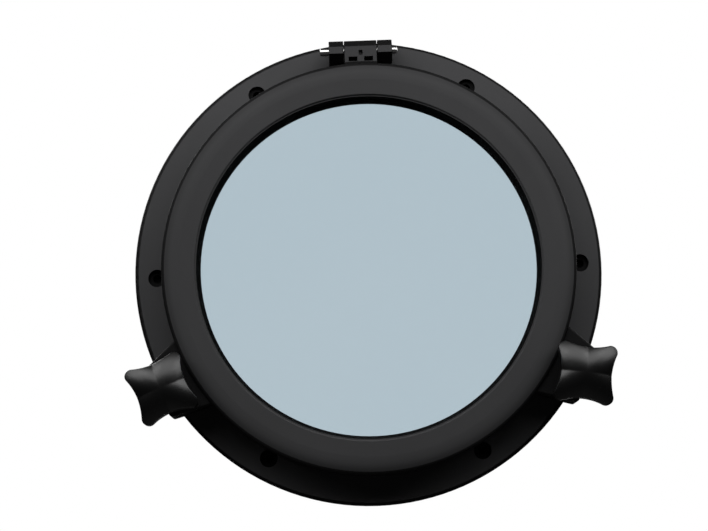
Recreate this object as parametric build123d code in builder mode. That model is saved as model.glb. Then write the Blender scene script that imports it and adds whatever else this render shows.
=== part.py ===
from build123d import *
from math import cos, hypot, radians, sin
import os

# Round opening port. The wall plane is Y = 0, the room side is -Y and +Z is up.
# Heights are measured from the wall plane towards the room.

# Frame, one moulding
flange_diameter = 300.0
flange_showing = 18.6
flange_edge_height = 4.6
flange_root_height = 9.0
flange_edge_rounding = 3.2
spigot_wall = 5.0
spigot_depth = 32.0
spigot_end_chamfer = 1.0
coaming_height = 14.0
coaming_root_width = 6.7
coaming_lip_width = 4.0
coaming_lead_in = 3.0
coaming_rounding = 1.0
bedding_groove_inset = 5.5
bedding_groove_width = 4.0
bedding_groove_depth = 1.0

# Wall screws, on a circle just outside the door's edge
wall_screw_count = 6
wall_screw_beyond_door = 4.3
wall_screw_hole = 5.5
wall_screw_recess = 11.2
wall_screw_seat = 3.6

# Door ring, one moulding that closes over the coaming
door_crown_drop = 2.8
door_edge_rounding = 1.6
door_face_flat_width = 9.8
door_lip_height = 8.0
door_lip_slope_width = 2.5
door_lip_rounding = 0.8
door_skirt_gap = 0.9
door_skirt_wall = 4.6
door_skirt_clearance = 0.6

# Pane, gasket and retainer
pane_thickness = 6.0
pane_edge_cover = 4.7
gasket_front = 0.8
gasket_side = 0.7
gasket_lip = 0.8
gasket_bead_drop = 1.0
retainer_thickness = 3.0
retainer_lip = 0.7
retainer_edge_rounding = 0.4
retainer_clearance = 0.9
retainer_side_clearance = 0.1
retainer_rib_width = 1.8
retainer_rib_gap = 0.7
retainer_rib_step = 1.5
retainer_screw_count = 12
retainer_screw_inset = 3.2
retainer_screw_margin = 2.3
retainer_screw_diameter = 2.6
retainer_screw_head = 4.4
retainer_screw_length = 9.0
retainer_screw_head_height = 1.4
retainer_screw_slot_width = 0.8
retainer_screw_slot_depth = 0.6
retainer_screw_clearance = 0.05

# Door seal
seal_height = 5.2
seal_gap = 0.3
seal_side_clearance = 0.1
seal_rounding = 1.2

# Hinge at the top
hinge_beyond_door = 9.8
hinge_height = 18.0
hinge_barrel_diameter = 14.0
hinge_front_reach = 6.0
hinge_front_flat = 4.4
hinge_facet_foot = 0.5
hinge_knuckle_length = 21.0
hinge_ear_length = 9.45
hinge_end_gap = 0.4
hinge_edge_rounding = 0.5
hinge_pin_diameter = 4.8
hinge_pin_left_reach = 5.8
hinge_pin_right_reach = 3.4
hinge_pin_chamfer = 0.4
hinge_pin_dome = 1.4
hinge_running_clearance = 0.08
hinge_press_clearance = 0.02
knuckle_root_depth = 1.6
pocket_width = 5.7
pocket_top = 4.6
pocket_bottom = 7.6
pocket_depth = 7.0
pocket_middle_rib = 4.3
notch_width = 2.5
notch_top = 0.4
notch_bottom = 3.6
notch_depth = 2.2

# Lugs on the door and bosses on the frame, each side
knob_beyond_door = 19.8
knob_angle_below = 29.1
lug_root_width = 45.6
lug_end_width = 33.7
lug_beyond_knob = 4.5
lug_nose_wall = 1.5
lug_corner_rounding = 2.0
lug_edge_rounding = 1.2
lug_step_down = 4.0
lug_thickness = 12.0
lug_root_depth = 3.0
boss_lug_gap = 0.8
boss_door_clearance = 1.2

# Star knob, stud, washer, clip and insert, each side
knob_lobes = 4
knob_travel = 8.0
knob_reach = 24.5
knob_lobe_radius = 4.2
knob_waist = 15.8
knob_door_clearance = 1.6
knob_tip_height = 7.2
knob_crown = 9.4
knob_ridge_radius = 17.0
knob_crease_rounding = 3.5
knob_top_rounding = 1.2
knob_under_rounding = 0.6
knob_wall = 2.8
knob_recess_depth = 4.5
knob_hub_diameter = 15.0
left_knob_angle = 65.7
right_knob_angle = 36.5
washer_diameter = 14.0
washer_thickness = 1.2
stud_diameter = 6.0
stud_in_boss = 7.8
stud_tip_chamfer = 0.8
stud_in_knob = 12.0
stud_hole_clearance = 0.4
stud_fit_clearance = 0.05
thread_clearance = 0.1
clip_diameter = 10.0
clip_thickness = 1.0
clip_groove_depth = 0.6
clip_boss_gap = 0.6
clip_mouth_width = 4.0
clip_fit_clearance = 0.05
clip_recess_clearance = 1.0
clip_recess_gap = 0.2
insert_diameter = 9.2
insert_length = 10.0
insert_band_width = 2.2
insert_band_depth = 0.5
insert_fit_clearance = 0.02

overrun = 5.0

# Radii that several pieces share, from the flange's edge inwards
flange_radius = flange_diameter / 2
door_radius = flange_radius - flange_showing
skirt_inner = door_radius - door_skirt_wall
coaming_outer = skirt_inner - door_skirt_clearance
clear_radius = coaming_outer - coaming_root_width
spigot_radius = clear_radius + spigot_wall
retainer_outer = clear_radius - retainer_clearance
seal_groove_inner = retainer_outer + retainer_rib_width
retainer_screw_radius = retainer_outer - retainer_screw_inset
gasket_radius = retainer_screw_radius - retainer_screw_margin
pane_radius = gasket_radius - gasket_side
sight_radius = pane_radius - pane_edge_cover
wall_screw_radius = door_radius + wall_screw_beyond_door
hinge_radius = door_radius + hinge_beyond_door
knob_circle_radius = door_radius + knob_beyond_door
barrel_radius = hinge_barrel_diameter / 2
pin_radius = hinge_pin_diameter / 2
stud_radius = stud_diameter / 2
clip_recess_radius = clip_diameter / 2 + clip_recess_clearance
lug_nose_radius = clip_recess_radius + lug_nose_wall

# Heights that several pieces share, from the wall outwards
door_skirt_height = flange_root_height + door_skirt_gap
seal_groove_height = coaming_height + seal_gap + seal_height
retainer_rib_height = coaming_height + retainer_rib_gap
pane_seat_height = retainer_rib_height + retainer_rib_step
retainer_back_height = pane_seat_height - retainer_thickness
pane_front_height = pane_seat_height + pane_thickness
lip_under_height = pane_front_height + gasket_front
door_face_height = lip_under_height + door_lip_height
door_edge_height = door_face_height - door_crown_drop
lug_face_height = door_face_height - lug_step_down
lug_under_height = lug_face_height - lug_thickness
boss_height = lug_under_height - boss_lug_gap
clip_height = boss_height + clip_boss_gap
clip_recess_depth = clip_height + clip_thickness + knob_travel + clip_recess_gap - lug_under_height
knob_seat_height = lug_face_height + washer_thickness
knob_lobe_under = door_face_height + knob_door_clearance

# Local planes: radius and height for turned sections, and one plane each side on the knob's axis
section = Plane(origin=(0, 0, 0), x_dir=(1, 0, 0), z_dir=(0, 0, -1))


def hinge_plane(along):
    """Plane across the hinge axis, with local X up and local Y towards the room."""
    return Plane(origin=(along, -hinge_height, hinge_radius), x_dir=(0, 0, 1), z_dir=(1, 0, 0))


def hinge_outline(back):
    """Section across the hinge: a flat front, a facet above and below it and straight sides."""
    with BuildSketch(Plane.XY) as outline:
        with BuildLine():
            Polyline(
                (-barrel_radius, -back),
                (-barrel_radius, hinge_facet_foot),
                (-hinge_front_flat / 2, hinge_front_reach),
                (hinge_front_flat / 2, hinge_front_reach),
                (barrel_radius, hinge_facet_foot),
                (barrel_radius, -back),
                close=True,
            )
        make_face()
    return outline.sketch


def knob_plane(side, height):
    """Plane facing the room at a height on one knob's axis, with local X away from the port's centre."""
    across = side * cos(radians(knob_angle_below))
    down = -sin(radians(knob_angle_below))
    centre = (knob_circle_radius * across, -height, knob_circle_radius * down)
    return Plane(origin=centre, x_dir=(across, 0, down), z_dir=(0, -1, 0))


def lug_outline(inner_radius):
    """Trapezoid that narrows away from the door, with a round nose about the knob's axis."""
    root = door_radius - knob_circle_radius
    taper = (lug_root_width - lug_end_width) / 2 / (lug_beyond_knob - root)
    inner = inner_radius - knob_circle_radius
    inner_half = lug_root_width / 2 + taper * (root - inner)
    end_half = lug_end_width / 2
    with BuildSketch(Plane.XY) as outline:
        with BuildLine():
            Polyline(
                (inner, -inner_half),
                (lug_beyond_knob, -end_half),
                (lug_beyond_knob, end_half),
                (inner, inner_half),
                close=True,
            )
        make_face()
        Circle(lug_nose_radius)
        fillet(outline.vertices().filter_by(lambda corner: corner.X > 0), lug_corner_rounding)
    return outline.sketch


def star_outline():
    """Four round lobes joined by hollow arcs that run on from them."""
    lobe_centre = knob_reach - knob_lobe_radius
    half_step = radians(180 / knob_lobes)
    pull = 2 * lobe_centre * cos(half_step)
    hollow_top = knob_waist**2 + lobe_centre**2 - pull * knob_waist - knob_lobe_radius**2
    hollow_radius = hollow_top / (pull + 2 * knob_lobe_radius - 2 * knob_waist)
    hollow_centre = knob_waist + hollow_radius
    away_x = hollow_centre * cos(half_step) - lobe_centre
    away_y = hollow_centre * sin(half_step)
    meet_share = knob_lobe_radius / hypot(away_x, away_y)
    meet = Vector(lobe_centre + meet_share * away_x, meet_share * away_y)
    mirrored = Vector(meet.X, -meet.Y)
    tip = Vector(knob_reach, 0)
    waist = Vector(knob_waist * cos(half_step), knob_waist * sin(half_step))
    with BuildSketch(Plane.XY) as outline:
        with BuildLine():
            for lobe in range(knob_lobes):
                turn = lobe * 360 / knob_lobes
                lobe_start = mirrored.rotate(Axis.Z, turn)
                lobe_end = meet.rotate(Axis.Z, turn)
                next_start = mirrored.rotate(Axis.Z, turn + 360 / knob_lobes)
                ThreePointArc(lobe_start, tip.rotate(Axis.Z, turn), lobe_end)
                ThreePointArc(lobe_end, waist.rotate(Axis.Z, turn), next_start)
        make_face()
    return outline.sketch


def crown_bar(base, turn):
    """Wheel with a round rim, whose top is the ridge over two lobes that face each other."""
    along = (cos(radians(turn)), 0, sin(radians(turn)))
    across = (-sin(radians(turn)), 0, cos(radians(turn)))
    rim_centre = knob_crown_radius - knob_ridge_radius
    with BuildPart() as bar:
        with BuildSketch(Plane(origin=base, x_dir=across, z_dir=along)):
            with Locations((0, rim_centre / 2)):
                Rectangle(2 * knob_ridge_radius, rim_centre)
            with Locations((0, rim_centre)):
                Circle(knob_ridge_radius)
        revolve(axis=Axis(base, across))
    return bar.part


os.makedirs("parts", exist_ok=True)

# Hinge ears, rounded along their ends before they join the flange
ear_inner = hinge_knuckle_length / 2 + hinge_end_gap
ears = []
for ear_start in (ear_inner, -ear_inner - hinge_ear_length):
    with BuildPart() as ear_blank:
        with BuildSketch(hinge_plane(ear_start)):
            add(hinge_outline(hinge_height - flange_edge_height / 2))
        extrude(amount=hinge_ear_length)
        fillet(ear_blank.faces().filter_by(Axis.X).edges(), hinge_edge_rounding)
    ears.append(ear_blank.part)

# Frame: spigot through the wall, sloped screw flange, coaming for the seal, hinge ears and knob bosses
coaming_lip_outer = clear_radius + (coaming_root_width + coaming_lip_width) / 2
coaming_lip_inner = coaming_lip_outer - coaming_lip_width
groove_outer = flange_radius - bedding_groove_inset
with BuildPart() as frame:
    with BuildSketch(section) as frame_section:
        with BuildLine():
            Polyline(
                (clear_radius, -spigot_depth),
                (spigot_radius, -spigot_depth),
                (spigot_radius, 0),
                (groove_outer - bedding_groove_width, 0),
                (groove_outer - bedding_groove_width, bedding_groove_depth),
                (groove_outer, bedding_groove_depth),
                (groove_outer, 0),
                (flange_radius, 0),
                (flange_radius, flange_edge_height),
                (coaming_outer, flange_root_height),
                (coaming_lip_outer, coaming_height),
                (coaming_lip_inner, coaming_height),
                (clear_radius, coaming_height - coaming_lead_in),
                close=True,
            )
        make_face()
        fillet(frame_section.vertices().group_by(Axis.X)[-1].sort_by(Axis.Y)[-1], flange_edge_rounding)
        fillet(frame_section.vertices().group_by(Axis.Y)[-1], coaming_rounding)
        chamfer(frame_section.vertices().group_by(Axis.Y)[0], spigot_end_chamfer)
    revolve(axis=Axis.Y)

    # Hinge ears stand on the flange either side of the knuckle
    for ear in ears:
        add(ear)
    with BuildSketch(hinge_plane(-flange_radius)):
        Circle(pin_radius + hinge_press_clearance)
    extrude(amount=flange_diameter, mode=Mode.SUBTRACT)

    # Knob bosses reach past the flange and hold the threaded inserts
    for side in (-1, 1):
        with BuildSketch(knob_plane(side, 0)):
            add(lug_outline(door_radius + boss_door_clearance))
        extrude(amount=boss_height)
        with BuildSketch(knob_plane(side, boss_height)):
            Circle(insert_diameter / 2 + insert_fit_clearance)
        extrude(amount=-insert_length, mode=Mode.SUBTRACT)

    # Recessed wall-screw holes
    with Locations(Plane.XZ.offset(flange_root_height)):
        with PolarLocations(wall_screw_radius, wall_screw_count):
            CounterBoreHole(
                wall_screw_hole / 2,
                wall_screw_recess / 2,
                flange_root_height - wall_screw_seat,
                flange_root_height + overrun,
            )
frame.part.label = "frame"
export_step(frame.part, "parts/frame.step")

# Hinge pin: plain end on the left, domed end on the right
pin_left = hinge_knuckle_length / 2 + hinge_end_gap + hinge_ear_length + hinge_pin_left_reach
pin_right = hinge_knuckle_length / 2 + hinge_end_gap + hinge_ear_length + hinge_pin_right_reach
with BuildPart() as hinge_pin:
    with BuildSketch(hinge_plane(-pin_left)):
        Circle(pin_radius)
    extrude(amount=pin_left + pin_right)
    chamfer(hinge_pin.edges().sort_by(Axis.X)[0], hinge_pin_chamfer)
    fillet(hinge_pin.edges().sort_by(Axis.X)[-1], hinge_pin_dome)
hinge_pin.part.label = "hinge_pin"
export_step(hinge_pin.part, "parts/hinge_pin.step")

# Lug on each side of the door, rounded along its face before it joins the ring
lugs = []
for side in (-1, 1):
    with BuildPart() as lug_blank:
        with BuildSketch(knob_plane(side, lug_under_height)):
            add(lug_outline(door_radius - lug_root_depth))
        extrude(amount=lug_face_height - lug_under_height)
        fillet(lug_blank.faces().sort_by(Axis.Y)[0].edges(), lug_edge_rounding)
    lugs.append((side, lug_blank.part))

# Hinge knuckle: a round-backed block with two pockets and a notch between ribs on its flat front
block_drop = hinge_radius - door_radius + knuckle_root_depth
with BuildPart() as knuckle_blank:
    with BuildSketch(hinge_plane(-hinge_knuckle_length / 2)):
        Circle(barrel_radius)
        add(hinge_outline(barrel_radius), mode=Mode.INTERSECT)
        with Locations((-block_drop / 2, (hinge_front_reach - barrel_radius) / 2)):
            Rectangle(block_drop, hinge_front_reach + barrel_radius)
    extrude(amount=hinge_knuckle_length)
    fillet(knuckle_blank.faces().filter_by(Axis.X).edges(), hinge_edge_rounding)
    with BuildSketch(Plane.XZ.offset(hinge_height + hinge_front_reach)):
        with Locations((0, hinge_radius - (pocket_top + pocket_bottom) / 2)):
            with GridLocations(pocket_middle_rib + pocket_width, 0, 2, 1):
                Rectangle(pocket_width, pocket_bottom - pocket_top)
    extrude(amount=-pocket_depth, mode=Mode.SUBTRACT)
    with BuildSketch(Plane.XZ.offset(hinge_height + hinge_front_reach)):
        with Locations((0, hinge_radius - (notch_top + notch_bottom) / 2)):
            Rectangle(notch_width, notch_bottom - notch_top)
    extrude(amount=-notch_depth, mode=Mode.SUBTRACT)

# Door ring: crowned face, sight opening, pane rebate, seal groove, skirt, hinge knuckle and lugs
face_flat_inner = sight_radius + door_lip_slope_width
face_flat_outer = face_flat_inner + door_face_flat_width
with BuildPart() as door_ring:
    with BuildSketch(section) as door_section:
        with BuildLine():
            Polyline(
                (face_flat_outer, door_face_height),
                (face_flat_inner, door_face_height),
                (sight_radius, lip_under_height),
                (gasket_radius, lip_under_height),
                (gasket_radius, pane_seat_height),
                (retainer_outer, pane_seat_height),
                (retainer_outer, retainer_rib_height),
                (seal_groove_inner, retainer_rib_height),
                (seal_groove_inner, seal_groove_height),
                (skirt_inner, seal_groove_height),
                (skirt_inner, door_skirt_height),
                (door_radius, door_skirt_height),
                (door_radius, door_edge_height),
            )
            TangentArc((face_flat_outer, door_face_height), (door_radius, door_edge_height), tangent=(1, 0))
        make_face()
        fillet(door_section.vertices().group_by(Axis.X)[-1].sort_by(Axis.Y)[-1], door_edge_rounding)
        fillet(door_section.vertices().group_by(Axis.Y)[-1].sort_by(Axis.X)[0], door_lip_rounding)
    revolve(axis=Axis.Y)

    # Hinge knuckle, bored through for the pin
    add(knuckle_blank.part)
    with BuildSketch(hinge_plane(-hinge_knuckle_length)):
        Circle(pin_radius + hinge_running_clearance)
    extrude(amount=2 * hinge_knuckle_length, mode=Mode.SUBTRACT)

    # Lugs that the knobs clamp, with a recess below for the clip to travel in
    for side, lug in lugs:
        add(lug)
        with BuildSketch(knob_plane(side, lug_under_height)):
            Circle(clip_recess_radius)
        extrude(amount=clip_recess_depth, mode=Mode.SUBTRACT)
        with BuildSketch(knob_plane(side, lug_under_height)):
            Circle(stud_radius + stud_hole_clearance)
        extrude(amount=door_face_height, mode=Mode.SUBTRACT)

    # Blind holes for the retainer screws
    with BuildSketch(Plane.XZ.offset(pane_seat_height)):
        with PolarLocations(retainer_screw_radius, retainer_screw_count):
            Circle(retainer_screw_diameter / 2 + retainer_screw_clearance)
    extrude(amount=retainer_screw_length, mode=Mode.SUBTRACT)
door_ring.part.label = "door_ring"
export_step(door_ring.part, "parts/door_ring.step")

# Pane
with BuildPart() as pane:
    with BuildSketch(Plane.XZ.offset(pane_seat_height)):
        Circle(pane_radius)
    extrude(amount=pane_thickness)
pane.part.label = "pane"
export_step(pane.part, "parts/pane.step")

# Glazing gasket: a leg round the pane's edge, a leg in front of it and a bead up the door's sloped lip
bead_height = door_face_height - gasket_bead_drop
bead_radius = sight_radius + door_lip_slope_width * (bead_height - lip_under_height) / door_lip_height
with BuildPart() as glazing_gasket:
    with BuildSketch(section):
        with BuildLine():
            Polyline(
                (sight_radius - gasket_lip, pane_front_height),
                (pane_radius, pane_front_height),
                (pane_radius, pane_seat_height),
                (gasket_radius, pane_seat_height),
                (gasket_radius, lip_under_height),
                (sight_radius, lip_under_height),
                (bead_radius, bead_height),
                (bead_radius - gasket_lip, bead_height),
                (sight_radius - gasket_lip, lip_under_height),
                close=True,
            )
        make_face()
    revolve(axis=Axis.Y)
glazing_gasket.part.label = "glazing_gasket"
export_step(glazing_gasket.part, "parts/glazing_gasket.step")

# Pane retainer: a flat ring screwed to the door's back, with holes that take the screw heads
retainer_inner = sight_radius - retainer_lip
retainer_edge = retainer_outer - retainer_side_clearance
with BuildPart() as pane_retainer:
    with BuildSketch(section) as retainer_section:
        with BuildLine():
            Polyline(
                (retainer_inner, retainer_back_height),
                (retainer_edge, retainer_back_height),
                (retainer_edge, pane_seat_height),
                (retainer_inner, pane_seat_height),
                close=True,
            )
        make_face()
        fillet(retainer_section.vertices().group_by(Axis.Y)[0], retainer_edge_rounding)
    revolve(axis=Axis.Y)
    with BuildSketch(Plane.XZ.offset(retainer_back_height)):
        with PolarLocations(retainer_screw_radius, retainer_screw_count):
            Circle(retainer_screw_diameter / 2 + retainer_screw_clearance)
    extrude(amount=retainer_thickness, mode=Mode.SUBTRACT)
    with BuildSketch(Plane.XZ.offset(retainer_back_height)):
        with PolarLocations(retainer_screw_radius, retainer_screw_count):
            Circle(retainer_screw_head / 2 + retainer_screw_clearance)
    extrude(amount=retainer_screw_head_height, mode=Mode.SUBTRACT)
pane_retainer.part.label = "pane_retainer"
export_step(pane_retainer.part, "parts/pane_retainer.step")

# Retainer screws: flat heads let into the retainer, with driver slots
with BuildPart() as retainer_screws:
    with BuildSketch(Plane.XZ.offset(retainer_back_height)):
        with PolarLocations(retainer_screw_radius, retainer_screw_count):
            Circle(retainer_screw_head / 2)
    extrude(amount=retainer_screw_head_height)
    with BuildSketch(Plane.XZ.offset(retainer_back_height)):
        with PolarLocations(retainer_screw_radius, retainer_screw_count):
            Circle(retainer_screw_diameter / 2)
    extrude(amount=retainer_screw_length)
    with BuildSketch(Plane.XZ.offset(retainer_back_height)):
        with PolarLocations(retainer_screw_radius, retainer_screw_count):
            Rectangle(2 * retainer_screw_head, retainer_screw_slot_width)
    extrude(amount=retainer_screw_slot_depth, mode=Mode.SUBTRACT)
retainer_screws.part.label = "retainer_screws"
export_step(retainer_screws.part, "parts/retainer_screws.step")

# Door seal: rubber ring in the groove, just clear of the coaming
with BuildPart() as door_seal:
    with BuildSketch(section) as seal_section:
        with BuildLine():
            Polyline(
                (seal_groove_inner + seal_side_clearance, coaming_height + seal_gap),
                (skirt_inner - seal_side_clearance, coaming_height + seal_gap),
                (skirt_inner - seal_side_clearance, seal_groove_height),
                (seal_groove_inner + seal_side_clearance, seal_groove_height),
                close=True,
            )
        make_face()
        fillet(seal_section.vertices().group_by(Axis.Y)[0], seal_rounding)
    revolve(axis=Axis.Y)
door_seal.part.label = "door_seal"
export_step(door_seal.part, "parts/door_seal.step")

# Each side: star knob, stud, washer, clip and insert on one axis
knob_body_height = knob_tip_height + knob_crown
knob_crown_radius = (knob_reach**2 + knob_crown**2) / (2 * knob_crown)
crown_centre_height = knob_lobe_under + knob_body_height - knob_crown_radius
stud_end_height = knob_seat_height + stud_in_knob
stud_tip_height = boss_height - stud_in_boss
clip_groove_radius = stud_radius - clip_groove_depth
insert_radius = insert_diameter / 2
insert_bottom = boss_height - insert_length
insert_middle = boss_height - insert_length / 2
for side, name, lobe_turn in ((-1, "left", left_knob_angle), (1, "right", right_knob_angle)):
    centre = knob_plane(side, 0).origin
    knob_axis = Axis(centre, (0, -1, 0))
    knob_section = Plane(origin=centre, x_dir=(1, 0, 0), z_dir=(0, 0, -1))
    knob_face = Plane(origin=centre, x_dir=(1, 0, 0), z_dir=(0, -1, 0))
    lobe_direction = (cos(radians(lobe_turn)), 0, sin(radians(lobe_turn)))
    star_plane = Plane(origin=centre, x_dir=lobe_direction, z_dir=(0, -1, 0)).offset(knob_lobe_under)

    # Crown: two rounded bars that cross over the knob's axis
    crown_base = knob_face.offset(crown_centre_height).origin
    with BuildPart() as crown:
        for pair in range(knob_lobes // 2):
            add(crown_bar(crown_base, lobe_turn + pair * 360 / knob_lobes))

    # Knob: star body under the crown, hollow below, with a hub that sits on the washer
    with BuildPart() as knob:
        with BuildSketch(star_plane):
            add(star_outline())
        extrude(amount=knob_body_height)
        add(crown.part, mode=Mode.INTERSECT)
        ridges = knob.faces().filter_by(GeomType.TORUS)
        fillet(ridges.edges() - knob.faces().filter_by(GeomType.CYLINDER).edges(), knob_crease_rounding)
        walls = knob.faces().filter_by(GeomType.CYLINDER)
        crown_faces = (knob.faces() - walls).filter_by(GeomType.PLANE, reverse=True)
        fillet(crown_faces.edges() & walls.edges(), knob_top_rounding)
        fillet(knob.faces().sort_by(Axis.Y)[-1].edges(), knob_under_rounding)
        with BuildSketch(star_plane):
            offset(star_outline(), -knob_wall)
        extrude(amount=knob_recess_depth, mode=Mode.SUBTRACT)
        with BuildSketch(knob_face.offset(knob_seat_height)):
            Circle(knob_hub_diameter / 2)
        extrude(amount=knob_lobe_under - knob_seat_height + knob_recess_depth)
        with BuildSketch(knob_face.offset(knob_seat_height)):
            Circle(stud_radius + stud_fit_clearance)
        extrude(amount=stud_in_knob, mode=Mode.SUBTRACT)
    knob.part.label = name + "_knob"
    export_step(knob.part, "parts/" + name + "_knob.step")

    # Stud: fast in the knob's hub, with a groove for the clip
    with BuildPart() as stud:
        with BuildSketch(knob_section):
            with BuildLine():
                Polyline(
                    (0, stud_tip_height),
                    (stud_radius - stud_tip_chamfer, stud_tip_height),
                    (stud_radius, stud_tip_height + stud_tip_chamfer),
                    (stud_radius, clip_height),
                    (clip_groove_radius, clip_height),
                    (clip_groove_radius, clip_height + clip_thickness),
                    (stud_radius, clip_height + clip_thickness),
                    (stud_radius, stud_end_height),
                    (0, stud_end_height),
                    close=True,
                )
            make_face()
        revolve(axis=knob_axis)
    stud.part.label = name + "_stud"
    export_step(stud.part, "parts/" + name + "_stud.step")

    # Washer between the knob's hub and the lug
    with BuildPart() as washer:
        with BuildSketch(knob_face.offset(lug_face_height)):
            Circle(washer_diameter / 2)
            Circle(stud_radius + stud_hole_clearance, mode=Mode.SUBTRACT)
        extrude(amount=washer_thickness)
    washer.part.label = name + "_washer"
    export_step(washer.part, "parts/" + name + "_washer.step")

    # Clip: open ring in the stud's groove, which keeps the knob on the door
    with BuildPart() as clip:
        with BuildSketch(knob_plane(side, clip_height)):
            Circle(clip_diameter / 2)
            Circle(clip_groove_radius + clip_fit_clearance, mode=Mode.SUBTRACT)
            with Locations((clip_diameter / 2, 0)):
                Rectangle(clip_diameter, clip_mouth_width, mode=Mode.SUBTRACT)
        extrude(amount=clip_thickness)
    clip.part.label = name + "_clip"
    export_step(clip.part, "parts/" + name + "_clip.step")

    # Threaded insert moulded into the frame's boss, waisted so that it can't pull out
    with BuildPart() as insert:
        with BuildSketch(knob_section):
            with BuildLine():
                Polyline(
                    (stud_radius + thread_clearance, insert_bottom),
                    (insert_radius, insert_bottom),
                    (insert_radius, insert_middle - insert_band_width / 2),
                    (insert_radius - insert_band_depth, insert_middle - insert_band_width / 2),
                    (insert_radius - insert_band_depth, insert_middle + insert_band_width / 2),
                    (insert_radius, insert_middle + insert_band_width / 2),
                    (insert_radius, boss_height),
                    (stud_radius + thread_clearance, boss_height),
                    close=True,
                )
            make_face()
        revolve(axis=knob_axis)
    insert.part.label = name + "_insert"
    export_step(insert.part, "parts/" + name + "_insert.step")
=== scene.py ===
from math import radians, sin, tau

import bmesh
import bpy
from mathutils import Matrix, Vector


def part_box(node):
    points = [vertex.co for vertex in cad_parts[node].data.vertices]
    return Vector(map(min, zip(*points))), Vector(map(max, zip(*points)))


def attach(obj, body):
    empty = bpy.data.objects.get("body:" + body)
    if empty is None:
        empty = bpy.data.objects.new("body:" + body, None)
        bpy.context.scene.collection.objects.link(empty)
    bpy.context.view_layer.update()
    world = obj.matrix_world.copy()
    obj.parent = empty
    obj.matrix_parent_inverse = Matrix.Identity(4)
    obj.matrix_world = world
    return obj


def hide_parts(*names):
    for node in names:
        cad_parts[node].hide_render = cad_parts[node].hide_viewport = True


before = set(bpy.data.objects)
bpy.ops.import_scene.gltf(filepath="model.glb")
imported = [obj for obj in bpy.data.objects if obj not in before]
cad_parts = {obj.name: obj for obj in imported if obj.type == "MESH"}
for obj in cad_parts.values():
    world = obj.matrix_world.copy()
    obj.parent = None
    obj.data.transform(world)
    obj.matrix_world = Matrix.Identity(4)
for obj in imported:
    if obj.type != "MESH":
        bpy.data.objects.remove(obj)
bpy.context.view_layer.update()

SIDES = ("left", "right")

# Camera, fitted to the round edges of the port in the picture
CAMERA_PLACE = Vector((-0.02165, -1.38770, -0.18392))
CAMERA_AIM = Vector((-0.0092, 0.0, 0.0046))
CAMERA_ROLL = radians(-2.18)
CAMERA_LENS = 110.5
CAMERA_SENSOR = 36.0

# Etched texture: the tilt from the port's axis up to which it is full, and where it has ended;
# faces tilted further take the rounds' dark tone, a painted shade
MATT_FULL_TO = radians(10.0)
MATT_ENDS_AT = radians(40.0)
# Heights on the front, in metres: the lowest etched face, below which faces such as the screw
# recess floors take the rounds' dark tone as painted shade, and the smooth faces of bosses and
# lugs, which take it too, as painted shade beside the knobs on the lugs
LOWEST_ETCHED = 0.0042
BOSS_FACE = 0.0142
LUG_FACE = 0.0270
SMOOTH_AND_PAINTED_SHADE_WITHIN = 0.0006
# The rounded inner rim of the door's face, which is etched too
RIM_FOOT = 0.0295
RIM_RADIUS = 0.1112
# The outer edges of the door and the flange, and how far in from them a dark line of painted shade
# runs
DOOR_EDGE = 0.1314
FLANGE_EDGE = 0.150
PAINTED_EDGE_SHADE = 0.0020

# Moulded finishes: dark and light tone, then roughness where smooth and where rough. The rounds'
# and the bead slope's tones, far darker than the flats', are painted shade; only their roughness
# is a real smoother finish
ROUNDS_PAINTED_SHADE = (0.006, 0.008, 0.50, 0.60)
ETCHED_FLATS = (0.048, 0.054, 0.60, 0.70)
ETCHED_FLANGE = (0.051, 0.058, 0.60, 0.70)
KNOB_GLOSS = (0.0025, 0.0035, 0.30, 0.36)
BEAD_SLOPE_PAINTED_SHADE = (0.0015, 0.0025, 0.75, 0.90)
COOL_SHADE = 1.03
# Moulded grain: pebbles per metre and their depth in metres
COARSE_GRAIN = (1500.0, 0.00006)
FINE_GRAIN = (2200.0, 0.00003)
RUBBER_GRAIN = (1500.0, 0.00008)
PEBBLE_SMOOTHNESS = 0.6
FINE_GRAIN_SHARE = 0.45

# Dark and light tones of the other materials
PANE_TINTS = ((0.445, 0.545, 0.605), (0.455, 0.553, 0.612))
RUBBER_TONES = ((0.003, 0.003, 0.0034), (0.006, 0.006, 0.0065))
NYLON_TONES = ((0.032, 0.032, 0.033), (0.045, 0.045, 0.046))
DRAWN_STEEL_TONES = ((0.66, 0.66, 0.65), (0.78, 0.78, 0.77))
TURNED_STEEL_TONES = ((0.50, 0.50, 0.49), (0.64, 0.64, 0.63))
BRASS_TONES = ((0.66, 0.46, 0.18), (0.80, 0.60, 0.28))
# Stretch of the lines on metal, along X, Y and Z
ROD_STRETCH = (1.0, 6.0, 6.0)
TURNED_STRETCH = (1.0, 8.0, 1.0)

# How light bends in the mouldings and the pane, and how much their faces mirror
PLASTIC_IOR = 1.5
ACRYLIC_IOR = 1.49
MOULDING_SPECULAR = 0.06
KNOB_SPECULAR = 0.5
RUBBER_SPECULAR = 0.03

# Noise: how its finer layers fade, and the middle of its values that is stretched to a range
NOISE_ROUGHNESS = 0.55
NOISE_MIDDLE = (0.3, 0.7)

# Foam tape on the flange's back
TAPE_INNER = 0.1265
TAPE_OUTER = 0.1400
TAPE_GAP = 0.0001
TAPE_BACK = 0.0012
TAPE_STEPS = 144
MERGE_WITHIN = 0.000001

# Studs: heights from the wall plane and radii
STUD_RADIUS = 0.0030
STUD_TIP = 0.0064
STUD_CHAMFER = 0.0008
STUD_STEPS = 48
CLIP_GROOVE = 0.0148
CLIP_GROOVE_WIDTH = 0.0010
CLIP_GROOVE_RADIUS = 0.0024
THREAD_PITCH = 0.0010
THREAD_CORE = 0.00248
THREAD_ROOT = 0.00244
THREAD_CREST = 0.00297
THREAD_FLANK_SHARE = 0.46
THREAD_TURNS = 7
THREAD_STEPS = 36
THREAD_RUNOUT = 0.0004
# Faces that look this much along the axis, or that have more or fewer corners, stay flat
FLAT_END = 0.9
QUAD_CORNERS = 4

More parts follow.
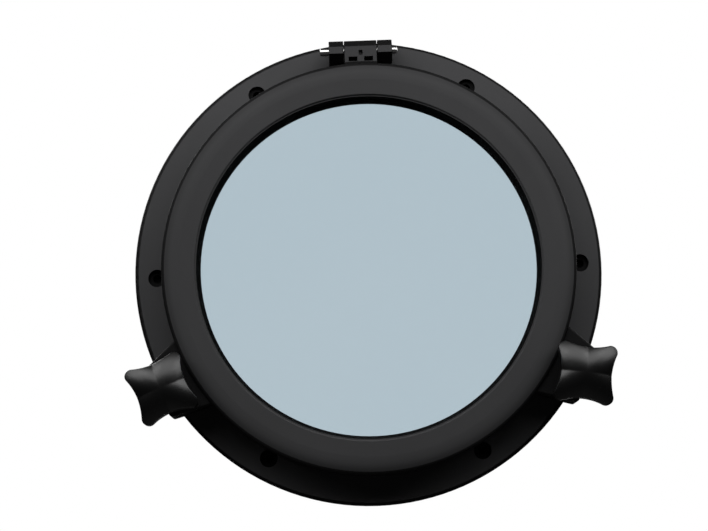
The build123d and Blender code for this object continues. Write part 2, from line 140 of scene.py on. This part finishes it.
# Studio, in metres and watts
FLOOR_DROP = 2.2
FLOOR_SIZE = 14.0
FLOOR_TONES = ((0.28, 0.28, 0.28), (0.32, 0.32, 0.32))
FLOOR_WHITENESS = 0.82
BACKDROP_AWAY = 3.0
BACKDROP_SIZE = (1.8, 1.4)
BACKDROP_PAINT = (0.8, 0.8, 0.8, 1.0)
FULL_WHITE = 1.0
STUDIO_ROUGHNESS = 0.9
ROOM_GREY = 0.01
LAMPS = (
    # name, place, width and height, watts
    ("top_lamp", Vector((0.0, -0.75, 0.80)), (1.5, 0.8), 10.2),
    ("left_lamp", Vector((-1.1, -0.55, 0.85)), (1.0, 0.9), 9.2),
    ("right_lamp", Vector((1.1, -0.55, 0.85)), (1.0, 0.9), 9.2),
    ("back_left_lamp", Vector((-0.9, 1.3, 0.8)), (0.9, 0.9), 16.0),
    ("back_right_lamp", Vector((1.0, 1.2, 0.5)), (0.9, 0.9), 12.0),
)


def feed(tree, socket, value):
    """Gives a socket a plain number or colour, or links it to another node's output."""
    if isinstance(value, bpy.types.NodeSocket):
        tree.links.new(value, socket)
    else:
        socket.default_value = value


def work_out(tree, operation, *values):
    """The result of a sum or a comparison, whose values are numbers or outputs of other nodes."""
    node = tree.nodes.new("ShaderNodeMath")
    node.operation = operation
    for socket, value in zip(node.inputs, values):
        feed(tree, socket, value)
    return node.outputs["Value"]


def rescale(tree, value, old, new, curve="LINEAR"):
    """A value carried over from one range (low, high) to another."""
    node = tree.nodes.new("ShaderNodeMapRange")
    node.interpolation_type = curve
    for socket, number in zip(("From Min", "From Max", "To Min", "To Max"), (*old, *new)):
        node.inputs[socket].default_value = number
    tree.links.new(value, node.inputs["Value"])
    return node.outputs["Result"]


def noise(tree, coordinates, scale, detail):
    node = tree.nodes.new("ShaderNodeTexNoise")
    node.inputs["Scale"].default_value = scale
    node.inputs["Detail"].default_value = detail
    node.inputs["Roughness"].default_value = NOISE_ROUGHNESS
    tree.links.new(coordinates, node.inputs["Vector"])
    return node.outputs["Fac"]


def spread(tree, value, low=0.0, high=1.0):
    """Stretches the middle of a noise to a range of values."""
    return rescale(tree, value, NOISE_MIDDLE, (low, high))


def blend(tree, factor, low, high, kind="FLOAT"):
    """A value or a colour that runs from low to high with the factor."""
    mix = tree.nodes.new("ShaderNodeMix")
    mix.data_type = kind
    tree.links.new(factor, mix.inputs["Factor"])
    feed(tree, mix.inputs["A"], low)
    feed(tree, mix.inputs["B"], high)
    return mix.outputs["Result"]


def two_tones(tree, factor, tones):
    """A colour that runs from a dark to a light tone with the factor."""
    dark, light = tones
    return blend(tree, factor, (*dark, 1.0), (*light, 1.0), "RGBA")


def reach_from_axis(tree, vector):
    """How far a vector reaches away from the port's axis."""
    across = tree.nodes.new("ShaderNodeVectorMath")
    across.operation = "MULTIPLY"
    across.inputs[1].default_value = (1.0, 0.0, 1.0)
    tree.links.new(vector, across.inputs[0])
    length = tree.nodes.new("ShaderNodeVectorMath")
    length.operation = "LENGTH"
    tree.links.new(across.outputs["Vector"], length.inputs[0])
    return length.outputs["Value"]


def new_group(name, vectors, values, results):
    """A shader node group with its named inputs and outputs."""
    group = bpy.data.node_groups.new(name, "ShaderNodeTree")
    kinds = (
        (vectors, "INPUT", "NodeSocketVector"),
        (values, "INPUT", "NodeSocketFloat"),
        (results, "OUTPUT", "NodeSocketFloat"),
    )
    for socket_names, direction, kind in kinds:
        for socket_name in socket_names:
            group.interface.new_socket(socket_name, in_out=direction, socket_type=kind)
    given = group.nodes.new("NodeGroupInput").outputs
    results_in = group.nodes.new("NodeGroupOutput").inputs
    return group, given, results_in


def moulded_grain_group():
    """Fine moulded texture: pebbled height, patchy gloss and a faint tone shift from the flow."""
    group, given, results = new_group(
        "moulded_grain", ("Vector",), ("Grain Scale",), ("Height", "Gloss Patches", "Tone")
    )
    place = given["Vector"]
    pebbles = group.nodes.new("ShaderNodeTexVoronoi")
    pebbles.feature = "SMOOTH_F1"
    pebbles.inputs["Smoothness"].default_value = PEBBLE_SMOOTHNESS
    group.links.new(place, pebbles.inputs["Vector"])
    group.links.new(given["Grain Scale"], pebbles.inputs["Scale"])
    fine = noise(group, place, scale=5200.0, detail=3.0)
    height = work_out(group, "MULTIPLY_ADD", fine, FINE_GRAIN_SHARE, pebbles.outputs["Distance"])
    group.links.new(height, results["Height"])
    group.links.new(noise(group, place, scale=34.0, detail=5.0), results["Gloss Patches"])
    group.links.new(noise(group, place, scale=11.0, detail=3.0), results["Tone"])
    return group


def turned_lines_group():
    """Fine lines left by turning or drawing along one axis, with scattered scratches."""
    group, given, results = new_group("turned_lines", ("Vector",), (), ("Height", "Smear"))
    place = given["Vector"]
    group.links.new(noise(group, place, scale=1400.0, detail=4.0), results["Height"])
    group.links.new(noise(group, place, scale=160.0, detail=3.0), results["Smear"])
    return group


def matt_flats_and_painted_shade_group():
    """One on flat fronts and the door's inner rim, which are etched, and nothing elsewhere, where
    the moulding takes the dark tone of painted shade: on faces tilted away from the front, low
    faces, lug and boss faces and the outer edges.
    """
    group, given, results = new_group(
        "matt_flats_and_painted_shade",
        ("Normal", "Vector"),
        ("Etched Above", "Smooth And Painted Shade At", "Rim Radius", "Edge Radius"),
        ("Mask",),
    )
    # Faces that tilt away from the front lose the etching and take the dark tone, a painted shade
    tilt = reach_from_axis(group, given["Normal"])
    tilts = (sin(MATT_FULL_TO), sin(MATT_ENDS_AT))
    level = rescale(group, tilt, tilts, (1.0, 0.0), "SMOOTHSTEP")
    place = group.nodes.new("ShaderNodeSeparateXYZ")
    group.links.new(given["Vector"], place.inputs["Vector"])
    height = work_out(group, "MULTIPLY", place.outputs["Y"], -1.0)
    # Faces lower than the lowest etched face, such as recess floors, take the dark tone as painted
    # shade
    above = work_out(group, "GREATER_THAN", height, given["Etched Above"])
    # Faces at the lug or boss height take the dark tone, painted shade beside the knobs
    smooth = work_out(group, "COMPARE", height, given["Smooth And Painted Shade At"], SMOOTH_AND_PAINTED_SHADE_WITHIN)
    etched = work_out(group, "MULTIPLY", above, work_out(group, "SUBTRACT", 1.0, smooth))
    reach = reach_from_axis(group, given["Vector"])
    # A band along the outer edge takes the dark tone as a painted shade line
    painted_edge_shade = work_out(group, "COMPARE", reach, given["Edge Radius"], PAINTED_EDGE_SHADE)
    inside = work_out(group, "MULTIPLY", etched, work_out(group, "SUBTRACT", 1.0, painted_edge_shade))
    flats = work_out(group, "MULTIPLY", level, inside)
    within = work_out(group, "LESS_THAN", reach, given["Rim Radius"])
    rim = work_out(group, "MULTIPLY", within, work_out(group, "GREATER_THAN", height, RIM_FOOT))
    group.links.new(work_out(group, "MAXIMUM", flats, rim), results["Mask"])
    return group


MOULDED_GRAIN = moulded_grain_group()
MATT_FLATS_AND_PAINTED_SHADE = matt_flats_and_painted_shade_group()
TURNED_LINES = turned_lines_group()


def new_material(name):
    """A material with its Principled shader and its piece's own coordinates."""
    material = bpy.data.materials.new(name)
    material.use_nodes = True
    tree = material.node_tree
    shader = tree.nodes["Principled BSDF"]
    place = tree.nodes.new("ShaderNodeTexCoord").outputs["Object"]
    return material, tree, shader, place


def place_group(tree, group, place, values):
    """Puts a node group in a material, at given coordinates and with the material's own values."""
    node = tree.nodes.new("ShaderNodeGroup")
    node.node_tree = group
    tree.links.new(place, node.inputs["Vector"])
    for socket, number in values.items():
        node.inputs[socket].default_value = number
    return node


def paint(tree, shader, colour, roughness):
    """Links a colour and a roughness that vary over the surface to a material's shader."""
    tree.links.new(colour, shader.inputs["Base Color"])
    tree.links.new(roughness, shader.inputs["Roughness"])


def raise_bump(tree, shader, height, strength, depth):
    bump = tree.nodes.new("ShaderNodeBump")
    bump.inputs["Strength"].default_value = strength
    bump.inputs["Distance"].default_value = depth
    tree.links.new(height, bump.inputs["Height"])
    tree.links.new(bump.outputs["Normal"], shader.inputs["Normal"])


def grey(level):
    """A near-black plastic's colour, a trace cooler than neutral."""
    return (level, level, level * COOL_SHADE)


def moulded_plastic(
    name, rounds, flats, grain, specular, smooth_and_painted_shade_face=LUG_FACE, rim_radius=0.0, edge_radius=0.0
):
    """Black moulding with matt etched flats and slightly smoother rounds, whose much darker tone
    is painted shade.
    """
    material, tree, shader, place = new_material(name)
    etching = {
        "Etched Above": LOWEST_ETCHED,
        "Smooth And Painted Shade At": smooth_and_painted_shade_face,
        "Rim Radius": rim_radius,
        "Edge Radius": edge_radius,
    }
    etched = place_group(tree, MATT_FLATS_AND_PAINTED_SHADE, place, etching)
    normal = tree.nodes.new("ShaderNodeTexCoord").outputs["Normal"]
    tree.links.new(normal, etched.inputs["Normal"])
    mask = etched.outputs["Mask"]
    grain_scale, grain_depth = grain
    texture = place_group(tree, MOULDED_GRAIN, place, {"Grain Scale": grain_scale})
    tone = spread(tree, texture.outputs["Tone"])
    patches = texture.outputs["Gloss Patches"]
    colours = []
    gloss = []
    for dark, light, smooth, rough in (rounds, flats):
        colours.append(two_tones(tree, tone, (grey(dark), grey(light))))
        gloss.append(spread(tree, patches, smooth, rough))
    paint(tree, shader, blend(tree, mask, *colours, "RGBA"), blend(tree, mask, *gloss))
    raise_bump(tree, shader, texture.outputs["Height"], strength=0.35, depth=grain_depth)
    shader.inputs["Specular IOR Level"].default_value = specular
    shader.inputs["IOR"].default_value = PLASTIC_IOR
    return material


def tinted_acrylic(name):
    """Clear blue-grey sheet: tinted through, with a polished face and a trace of wave."""
    material, tree, shader, place = new_material(name)
    shader.inputs["Transmission Weight"].default_value = 1.0
    shader.inputs["IOR"].default_value = ACRYLIC_IOR
    tint = spread(tree, noise(tree, place, scale=6.0, detail=2.0))
    haze = spread(tree, noise(tree, place, scale=90.0, detail=3.0), low=0.0, high=0.015)
    paint(tree, shader, two_tones(tree, tint, PANE_TINTS), haze)
    wave = noise(tree, place, scale=14.0, detail=1.0)
    raise_bump(tree, shader, wave, strength=0.02, depth=0.0004)
    return material


def black_rubber(name):
    """Dull rubber with a dusty bloom."""
    material, tree, shader, place = new_material(name)
    grain_scale, grain_depth = RUBBER_GRAIN
    texture = place_group(tree, MOULDED_GRAIN, place, {"Grain Scale": grain_scale})
    bloom = spread(tree, texture.outputs["Gloss Patches"])
    dullness = spread(tree, texture.outputs["Tone"], low=0.7, high=0.9)
    paint(tree, shader, two_tones(tree, bloom, RUBBER_TONES), dullness)
    raise_bump(tree, shader, texture.outputs["Height"], strength=0.3, depth=grain_depth)
    shader.inputs["Specular IOR Level"].default_value = RUBBER_SPECULAR
    return material


def bright_metal(name, tones, smooth, rough, stretch):
    """Turned or drawn metal: lines run across the stretched direction."""
    material, tree, shader, place = new_material(name)
    mapping = tree.nodes.new("ShaderNodeMapping")
    mapping.inputs["Scale"].default_value = stretch
    tree.links.new(place, mapping.inputs["Vector"])
    lines = place_group(tree, TURNED_LINES, mapping.outputs["Vector"], {})
    smear = lines.outputs["Smear"]
    colour = two_tones(tree, spread(tree, smear), tones)
    paint(tree, shader, colour, spread(tree, smear, smooth, rough))
    raise_bump(tree, shader, lines.outputs["Height"], strength=0.15, depth=0.00003)
    shader.inputs["Metallic"].default_value = 1.0
    return material


def black_nylon(name):
    """Black washer plastic with a soft mottled tone."""
    material, tree, shader, place = new_material(name)
    mottle = spread(tree, noise(tree, place, scale=260.0, detail=4.0))
    gloss = spread(tree, noise(tree, place, scale=700.0, detail=3.0), low=0.38, high=0.55)
    paint(tree, shader, two_tones(tree, mottle, NYLON_TONES), gloss)
    tooth = noise(tree, place, scale=2600.0, detail=2.0)
    raise_bump(tree, shader, tooth, strength=0.2, depth=0.00003)
    return material


FRAME_PLASTIC = moulded_plastic(
    "frame_black_plastic", ROUNDS_PAINTED_SHADE, ETCHED_FLANGE, COARSE_GRAIN, MOULDING_SPECULAR,
    smooth_and_painted_shade_face=BOSS_FACE, edge_radius=FLANGE_EDGE,
)
DOOR_PLASTIC = moulded_plastic(
    "door_black_plastic", ROUNDS_PAINTED_SHADE, ETCHED_FLATS, COARSE_GRAIN, MOULDING_SPECULAR,
    rim_radius=RIM_RADIUS, edge_radius=DOOR_EDGE,
)
KNOB_PLASTIC = moulded_plastic(
    "knob_black_plastic", KNOB_GLOSS, KNOB_GLOSS, FINE_GRAIN, KNOB_SPECULAR
)
# The bead's inward slope takes a tone darker than the rubber's own, a painted shade around the
# pane
GLAZING_RUBBER = moulded_plastic(
    "glazing_rubber", BEAD_SLOPE_PAINTED_SHADE, ETCHED_FLATS, COARSE_GRAIN, RUBBER_SPECULAR
)
PANE_SHEET = tinted_acrylic("tinted_pane_sheet")
RUBBER = black_rubber("black_seal_rubber")
STAINLESS_ROD = bright_metal(
    "drawn_stainless", DRAWN_STEEL_TONES, smooth=0.20, rough=0.34, stretch=ROD_STRETCH
)
STAINLESS_TURNED = bright_metal(
    "turned_stainless", TURNED_STEEL_TONES, smooth=0.20, rough=0.36, stretch=TURNED_STRETCH
)
BRASS = bright_metal("turned_brass", BRASS_TONES, smooth=0.22, rough=0.40, stretch=TURNED_STRETCH)
NYLON = black_nylon("black_nylon")

NODE_FINISH = {
    "frame": FRAME_PLASTIC,
    "door_ring": DOOR_PLASTIC,
    "pane_retainer": DOOR_PLASTIC,
    "pane": PANE_SHEET,
    "glazing_gasket": GLAZING_RUBBER,
    "door_seal": RUBBER,
    "hinge_pin": STAINLESS_ROD,
    "retainer_screws": STAINLESS_TURNED,
}
for side in SIDES:
    NODE_FINISH[side + "_knob"] = KNOB_PLASTIC
    NODE_FINISH[side + "_stud"] = STAINLESS_TURNED
    NODE_FINISH[side + "_clip"] = STAINLESS_TURNED
    NODE_FINISH[side + "_washer"] = NYLON
    NODE_FINISH[side + "_insert"] = BRASS

for node_name, finish in NODE_FINISH.items():
    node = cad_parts[node_name]
    node.data.materials.clear()
    node.data.materials.append(finish)


def add_object(name, shape, material):
    """Makes an object of a finished bmesh."""
    mesh = bpy.data.meshes.new(name)
    shape.to_mesh(mesh)
    shape.free()
    mesh.materials.append(material)
    piece = bpy.data.objects.new(name, mesh)
    bpy.context.scene.collection.objects.link(piece)
    return piece


def add_piece(name, shape, body, material):
    """Makes an object of a finished bmesh, with outward normals, and sets it to ride on a body."""
    bmesh.ops.remove_doubles(shape, verts=shape.verts, dist=MERGE_WITHIN)
    bmesh.ops.recalc_face_normals(shape, faces=shape.faces)
    piece = add_object(name, shape, material)
    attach(piece, body)
    return piece


def draw_section(shape, section, centre, closed):
    """Joins points of (radius, height), right of an axis along Y, by edges."""
    points = []
    for radius, height in section:
        points.append(shape.verts.new((centre.x + radius, -height, centre.z)))
    first = 0 if closed else 1
    edges = [shape.edges.new((points[i - 1], points[i])) for i in range(first, len(points))]
    return points + edges


def spin_round(shape, outline, centre, steps):
    """Spins an outline fully round an axis along Y."""
    bmesh.ops.spin(
        shape, geom=outline, cent=centre, axis=(0, 1, 0), angle=tau, steps=steps, use_merge=True
    )


def make_bedding_tape_as_hole_shade():
    """Foam tape stuck to the flange's back over the screw holes, which the wall screws pierce; it
    is also a dark sheet put there so that the holes look shaded.
    """
    shape = bmesh.new()
    middle = Vector((0.0, 0.0, 0.0))
    section = (
        (TAPE_INNER, -TAPE_GAP),
        (TAPE_OUTER, -TAPE_GAP),
        (TAPE_OUTER, -TAPE_BACK),
        (TAPE_INNER, -TAPE_BACK),
    )
    spin_round(shape, draw_section(shape, section, middle, closed=True), middle, TAPE_STEPS)
    add_piece("bedding_tape_as_hole_shade", shape, "frame", RUBBER)


def wind_thread(shape, centre):
    """A closed ridge that climbs the stud's tip as a right-hand screw."""
    start = STUD_TIP + THREAD_PITCH
    half = THREAD_PITCH * THREAD_FLANK_SHARE
    ridge = ((THREAD_ROOT, start - half), (THREAD_CREST, start), (THREAD_ROOT, start + half))
    outline = draw_section(shape, ridge, centre, closed=True)
    climb = Vector((0.0, -THREAD_PITCH / THREAD_STEPS, 0.0))
    bmesh.ops.spin(
        shape, geom=outline, cent=centre, axis=(0, -1, 0), dvec=climb,
        angle=tau * THREAD_TURNS, steps=THREAD_STEPS * THREAD_TURNS,
    )
    bmesh.ops.holes_fill(shape, edges=shape.edges, sides=len(ridge))


def make_threaded_stud(side):
    """The stud with its thread below the clip's groove and a plain shank above it."""
    low, high = (Vector(corner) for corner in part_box(side + "_stud"))
    centre = (low + high) / 2
    centre.y = 0.0
    shape = bmesh.new()
    wind_thread(shape, centre)
    section = (
        (0.0, STUD_TIP),
        (STUD_RADIUS - STUD_CHAMFER, STUD_TIP),
        (THREAD_CORE, STUD_TIP + STUD_CHAMFER),
        (THREAD_CORE, CLIP_GROOVE - THREAD_RUNOUT),
        (STUD_RADIUS, CLIP_GROOVE - THREAD_RUNOUT / 2),
        (STUD_RADIUS, CLIP_GROOVE),
        (CLIP_GROOVE_RADIUS, CLIP_GROOVE),
        (CLIP_GROOVE_RADIUS, CLIP_GROOVE + CLIP_GROOVE_WIDTH),
        (STUD_RADIUS, CLIP_GROOVE + CLIP_GROOVE_WIDTH),
        (STUD_RADIUS, -low.y),
        (0.0, -low.y),
    )
    spin_round(shape, draw_section(shape, section, centre, closed=False), centre, STUD_STEPS)
    name = side + "_threaded_stud"
    stud = add_piece(name, shape, side + "_hand_screw", STAINLESS_TURNED)
    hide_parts(side + "_stud")
    for face in stud.data.polygons:
        four_sided = len(face.vertices) == QUAD_CORNERS
        face.use_smooth = four_sided and abs(face.normal.y) < FLAT_END


make_bedding_tape_as_hole_shade()
for side in SIDES:
    make_threaded_stud(side)


def any_of(tree, *rays):
    """One for rays of the named kinds, and nothing for other rays."""
    light_path = tree.nodes.new("ShaderNodeLightPath")
    seen = light_path.outputs[rays[0]]
    for ray in rays[1:]:
        seen = work_out(tree, "MAXIMUM", seen, light_path.outputs[ray])
    return seen


def choose_shader(tree, factor, first, second, output):
    """Links one of two shaders to a tree's output, by a factor."""
    choose = tree.nodes.new("ShaderNodeMixShader")
    tree.links.new(factor, choose.inputs["Fac"])
    tree.links.new(first, choose.inputs[1])
    tree.links.new(second, choose.inputs[2])
    tree.links.new(choose.outputs["Shader"], tree.nodes[output].inputs["Surface"])


def show_white(tree, shader, whiteness, *rays):
    """Lets a studio surface show white to rays of the named kinds, while others see its paint."""
    white = tree.nodes.new("ShaderNodeEmission")
    share = work_out(tree, "MULTIPLY", any_of(tree, *rays), whiteness)
    choose_shader(
        tree, share, shader.outputs["BSDF"], white.outputs["Emission"], "Material Output"
    )


def stage_sheet(name, width, height, place, turn, material):
    """A flat sheet of the studio."""
    shape = bmesh.new()
    bmesh.ops.create_grid(shape, x_segments=1, y_segments=1, size=0.5)
    bmesh.ops.scale(shape, vec=(width, height, 1.0), verts=shape.verts)
    bmesh.ops.transform(shape, matrix=Matrix.Translation(place) @ turn, verts=shape.verts)
    sheet = add_object(name, shape, material)


def lay_floor():
    """A mid-grey floor that the camera sees as pale, so that it throws little light upwards."""
    material, tree, shader, place = new_material("pale_floor")
    mottle = spread(tree, noise(tree, place, scale=3.0, detail=4.0))
    tree.links.new(two_tones(tree, mottle, FLOOR_TONES), shader.inputs["Base Color"])
    shader.inputs["Roughness"].default_value = STUDIO_ROUGHNESS
    show_white(tree, shader, FLOOR_WHITENESS, "Is Camera Ray", "Is Transmission Ray")
    below = Vector((0, 0, -FLOOR_DROP))
    stage_sheet("floor", FLOOR_SIZE, FLOOR_SIZE, below, Matrix.Identity(4), material)


def hang_backdrop():
    """A white sheet behind the port, as the camera sees it."""
    material, tree, shader, _ = new_material("white_backdrop")
    shader.inputs["Base Color"].default_value = BACKDROP_PAINT
    shader.inputs["Roughness"].default_value = STUDIO_ROUGHNESS
    rays = ("Is Camera Ray", "Is Glossy Ray", "Is Transmission Ray")
    show_white(tree, shader, FULL_WHITE, *rays)
    upright = Matrix.Rotation(radians(90), 4, "X")
    behind = CAMERA_AIM + (CAMERA_AIM - CAMERA_PLACE) * BACKDROP_AWAY / -CAMERA_PLACE.y
    stage_sheet("backdrop", *BACKDROP_SIZE, behind, upright, material)


def dim_room():
    """A dim room that the camera sees as white."""
    room = bpy.data.worlds.new("dim_studio")
    room.use_nodes = True
    tree = room.node_tree
    dim = tree.nodes["Background"]
    dim.inputs["Color"].default_value = (ROOM_GREY, ROOM_GREY, ROOM_GREY, 1.0)
    bright = tree.nodes.new("ShaderNodeBackground")
    bright.inputs["Color"].default_value = (1.0, 1.0, 1.0, 1.0)
    seen = any_of(tree, "Is Camera Ray", "Is Transmission Ray")
    choose_shader(
        tree, seen, dim.outputs["Background"], bright.outputs["Background"], "World Output"
    )
    bpy.context.scene.world = room


def add_lamp(name, place, size, power):
    """A soft rectangular lamp that faces the port's centre."""
    data = bpy.data.lights.new(name, "AREA")
    data.shape = "RECTANGLE"
    data.size, data.size_y = size
    data.energy = power
    lamp = bpy.data.objects.new(name, data)
    lamp.location = place
    lamp.rotation_mode = "QUATERNION"
    lamp.rotation_quaternion = (-place).to_track_quat("-Z", "Y")
    lamp.visible_camera = False
    lamp.visible_transmission = False
    bpy.context.scene.collection.objects.link(lamp)


def add_camera():
    data = bpy.data.cameras.new("camera")
    data.lens = CAMERA_LENS
    data.sensor_width = CAMERA_SENSOR
    camera = bpy.data.objects.new("camera", data)
    forward = CAMERA_AIM - CAMERA_PLACE
    facing = forward.to_track_quat("-Z", "Y").to_matrix().to_4x4()
    roll = Matrix.Rotation(CAMERA_ROLL, 4, "Z")
    camera.matrix_world = Matrix.Translation(CAMERA_PLACE) @ facing @ roll
    bpy.context.scene.collection.objects.link(camera)
    bpy.context.scene.camera = camera


lay_floor()
hang_backdrop()
dim_room()
for lamp in LAMPS:
    add_lamp(*lamp)
add_camera()
bpy.context.scene.view_settings.view_transform = "Standard"
